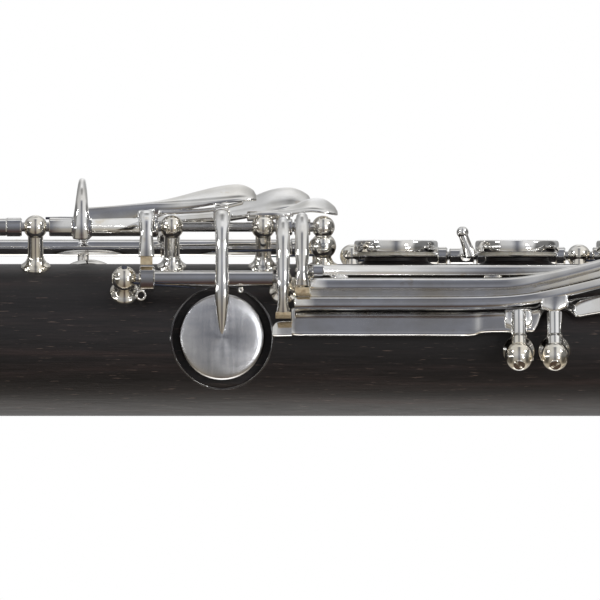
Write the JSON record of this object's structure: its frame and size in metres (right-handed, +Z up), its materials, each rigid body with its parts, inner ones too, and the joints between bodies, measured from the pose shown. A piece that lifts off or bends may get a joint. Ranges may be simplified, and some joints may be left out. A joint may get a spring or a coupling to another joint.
{
  "type": "bass clarinet",
  "caption": "Bass clarinet with a dark wooden body, plated keys on posts and rods, an upturned metal bell, a curved neck with mouthpiece and a floor peg.",
  "frame": {"origin": "tip of the floor peg, on the peg's axis; the body's axis is parallel to it, 29 mm in front", "axes": "+Z up the body towards the mouthpiece, -Y the front that the fingers cover and the bell faces, +X the player's left"},
  "size_m": [0.1366, 0.3391, 1.246],
  "materials": {
    "grenadilla": "oiled satin",
    "silver_plate": "polished",
    "steel": "polished",
    "cork": "matte",
    "ebonite": "polished",
    "cane": "matte",
    "pad_skin": "matte"
  },
  "bodies": {
    "instrument": {"lower_joint": "grenadilla", "upper_joint": "grenadilla", "tenon_corks": "cork", "joint_rings": "silver_plate", "bell": "silver_plate", "bell_bow": "silver_plate", "bell_rim": "silver_plate", "peg_holder": "silver_plate", "thumb_rest": "silver_plate", "strap_ring": "silver_plate", "neck": "silver_plate", "mouthpiece": "ebonite", "reed": "cane", "ligature": "silver_plate", "ligature_screws": "silver_plate", "lower_joint_posts": "silver_plate", "lower_joint_rods": "steel", "lever_pivot_screws": "steel", "upper_joint_posts": "silver_plate", "upper_joint_rods": "steel"},
    "floor_peg_rod": {"floor_peg": "steel"},
    "thumbscrew": {"peg_thumbscrew": "silver_plate"},
    "side_cup": {"side_cup_key": "silver_plate", "side_cup_pad": "pad_skin"},
    "low_f": {"low_f_key": "silver_plate", "low_f_pad": "pad_skin", "low_f_stop_cork": "cork"},
    "low_e": {"low_e_key": "silver_plate", "low_e_pad": "pad_skin"},
    "low_e_flat": {"low_e_flat_key": "silver_plate", "low_e_flat_pad": "pad_skin"},
    "f_sharp": {"f_sharp_key": "silver_plate", "f_sharp_pad": "pad_skin"},
    "d_sharp": {"d_sharp_key": "silver_plate", "d_sharp_pad": "pad_skin"},
    "left_lever_1": {"lever_1": "silver_plate", "c_sharp_pad": "pad_skin"},
    "left_lever_2": {"lever_2": "silver_plate"},
    "left_lever_3": {"lever_3": "silver_plate"},
    "sliver": {"sliver_key": "silver_plate"},
    "a": {"a_key": "silver_plate", "a_key_pad": "pad_skin"},
    "throat_g_sharp": {"throat_g_sharp_key": "silver_plate", "throat_g_sharp_pad": "pad_skin"},
    "register": {"register_key": "silver_plate", "register_pad": "pad_skin"},
    "trill": {"trill_key": "silver_plate", "trill_pad": "pad_skin"},
    "right_plate_1_body": {"right_plate_1": "silver_plate", "right_plate_1_pad": "pad_skin"},
    "right_plate_2_body": {"right_plate_2": "silver_plate", "right_plate_2_pad": "pad_skin"},
    "right_plate_3_body": {"right_plate_3": "silver_plate", "right_plate_3_pad": "pad_skin"},
    "left_plate_1_body": {"left_plate_1": "silver_plate", "left_plate_1_pad": "pad_skin"},
    "left_plate_2_body": {"left_plate_2": "silver_plate", "left_plate_2_pad": "pad_skin"},
    "left_plate_3_body": {"left_plate_3": "silver_plate", "left_plate_3_pad": "pad_skin"}
  },
  "joints": [
    {"name": "peg_slide", "type": "slide", "parent": "instrument", "child": "floor_peg_rod", "axis": [0, 0, 1], "range_m": [-0.03, 0.135]},
    {"name": "thumbscrew_turn", "type": "hinge", "parent": "instrument", "child": "thumbscrew", "pos_m": [0.0196, 0, 0.286], "axis": [1, 0, 0], "range_deg": [0, 180]},
    {"name": "low_e_press", "type": "hinge", "parent": "instrument", "child": "low_e", "pos_m": [-0.018, -0.0521, 0.52], "axis": [0, 0, 1], "range_deg": [0, 6.2], "stiffness_Nm_per_rad": 0.05, "springref_deg": -17.19},
    {"name": "side_cup_open", "type": "hinge", "parent": "instrument", "child": "side_cup", "pos_m": [0.0188, -0.0443, 0.6706], "axis": [0, 0, -1], "range_deg": [0, 7], "stiffness_Nm_per_rad": 0.05, "springref_deg": -17.19},
    {"name": "low_f_press", "type": "hinge", "parent": "instrument", "child": "low_f", "pos_m": [0.0081, -0.0572, 0.64], "axis": [0, 0, -1], "range_deg": [0, 3.8], "stiffness_Nm_per_rad": 0.05, "springref_deg": -17.19},
    {"name": "low_e_flat_press", "type": "hinge", "parent": "instrument", "child": "low_e_flat", "pos_m": [0.0081, -0.0572, 0.53], "axis": [0, 0, -1], "range_deg": [0, 5.4], "stiffness_Nm_per_rad": 0.05, "springref_deg": -17.19},
    {"name": "lever_3_press", "type": "hinge", "parent": "instrument", "child": "left_lever_3", "pos_m": [0.0284, -0.025, 0.7444], "axis": [-0.5, -0.866, 0], "range_deg": [0, 1.45], "stiffness_Nm_per_rad": 0.1, "springref_deg": -17.19},
    {"name": "f_sharp_close", "type": "hinge", "parent": "instrument", "child": "f_sharp", "pos_m": [0.0081, -0.0572, 0.686], "axis": [0, 0, -1], "range_deg": [0, 3.6], "stiffness_Nm_per_rad": 0.05, "springref_deg": -17.19},
    {"name": "lever_2_press", "type": "hinge", "parent": "instrument", "child": "left_lever_2", "pos_m": [0.0284, -0.025, 0.7533], "axis": [-0.5, -0.866, 0], "range_deg": [0, 1.25], "stiffness_Nm_per_rad": 0.1, "springref_deg": -17.19},
    {"name": "d_sharp_close", "type": "hinge", "parent": "instrument", "child": "d_sharp", "pos_m": [0.0081, -0.0572, 0.6906], "axis": [0, 0, -1], "range_deg": [0, 3.6], "stiffness_Nm_per_rad": 0.05, "springref_deg": -17.19},
    {"name": "lever_1_press", "type": "hinge", "parent": "instrument", "child": "left_lever_1", "pos_m": [0.0168, -0.0461, 0.74], "axis": [0, 0, -1], "range_deg": [0, 6], "stiffness_Nm_per_rad": 0.05, "springref_deg": -17.19},
    {"name": "sliver_press", "type": "hinge", "parent": "instrument", "child": "sliver", "pos_m": [-0.0155, -0.05, 0.731], "axis": [0, 0, 1], "range_deg": [0, 3], "stiffness_Nm_per_rad": 0.05, "springref_deg": -17.19},
    {"name": "right_plate_1_press", "type": "hinge", "parent": "instrument", "child": "right_plate_1_body", "pos_m": [-0.0155, -0.05, 0.7745], "axis": [0, 0, 1], "range_deg": [0, 1.15], "stiffness_Nm_per_rad": 0.05, "springref_deg": -17.19},
    {"name": "right_plate_2_press", "type": "hinge", "parent": "instrument", "child": "right_plate_2_body", "pos_m": [-0.0155, -0.05, 0.74425], "axis": [0, 0, 1], "range_deg": [0, 1.15], "stiffness_Nm_per_rad": 0.05, "springref_deg": -17.19},
    {"name": "right_plate_3_press", "type": "hinge", "parent": "instrument", "child": "right_plate_3_body", "pos_m": [-0.0155, -0.05, 0.714], "axis": [0, 0, 1], "range_deg": [0, 1.15], "stiffness_Nm_per_rad": 0.05, "springref_deg": -17.19},
    {"name": "left_plate_1_press", "type": "hinge", "parent": "instrument", "child": "left_plate_1_body", "pos_m": [-0.0155, -0.05, 0.97], "axis": [0, 0, 1], "range_deg": [0, 1.15], "stiffness_Nm_per_rad": 0.05, "springref_deg": -17.19},
    {"name": "left_plate_2_press", "type": "hinge", "parent": "instrument", "child": "left_plate_2_body", "pos_m": [-0.0155, -0.05, 0.938], "axis": [0, 0, 1], "range_deg": [0, 1.15], "stiffness_Nm_per_rad": 0.05, "springref_deg": -17.19},
    {"name": "left_plate_3_press", "type": "hinge", "parent": "instrument", "child": "left_plate_3_body", "pos_m": [-0.0155, -0.05, 0.906], "axis": [0, 0, 1], "range_deg": [0, 1.15], "stiffness_Nm_per_rad": 0.05, "springref_deg": -17.19},
    {"name": "a_open", "type": "hinge", "parent": "instrument", "child": "a", "pos_m": [0.0172, -0.0486, 1.006], "axis": [0, 0, 1], "range_deg": [0, 6], "stiffness_Nm_per_rad": 0.05, "springref_deg": -17.19},
    {"name": "throat_g_sharp_open", "type": "hinge", "parent": "instrument", "child": "throat_g_sharp", "pos_m": [0.0172, -0.0486, 1.035], "axis": [0, 0, 1], "range_deg": [0, 6], "stiffness_Nm_per_rad": 0.05, "springref_deg": -17.19},
    {"name": "register_open", "type": "hinge", "parent": "instrument", "child": "register", "pos_m": [0, -0.004, 1.056], "axis": [-1, 0, 0], "range_deg": [0, 5], "stiffness_Nm_per_rad": 0.05, "springref_deg": -17.19},
    {"name": "trill_open", "type": "hinge", "parent": "instrument", "child": "trill", "pos_m": [-0.02491, -0.03118, 0.851], "axis": [0.0872, -0.9962, 0], "range_deg": [0, 5], "stiffness_Nm_per_rad": 0.05, "springref_deg": -17.19}
  ],
  "couplings": [
    {"joint": "side_cup_open", "follows": "low_e_press", "ratio": 1.1},
    {"joint": "f_sharp_close", "follows": "lever_3_press", "ratio": 2.44},
    {"joint": "d_sharp_close", "follows": "lever_2_press", "ratio": 2.81}
  ]
}
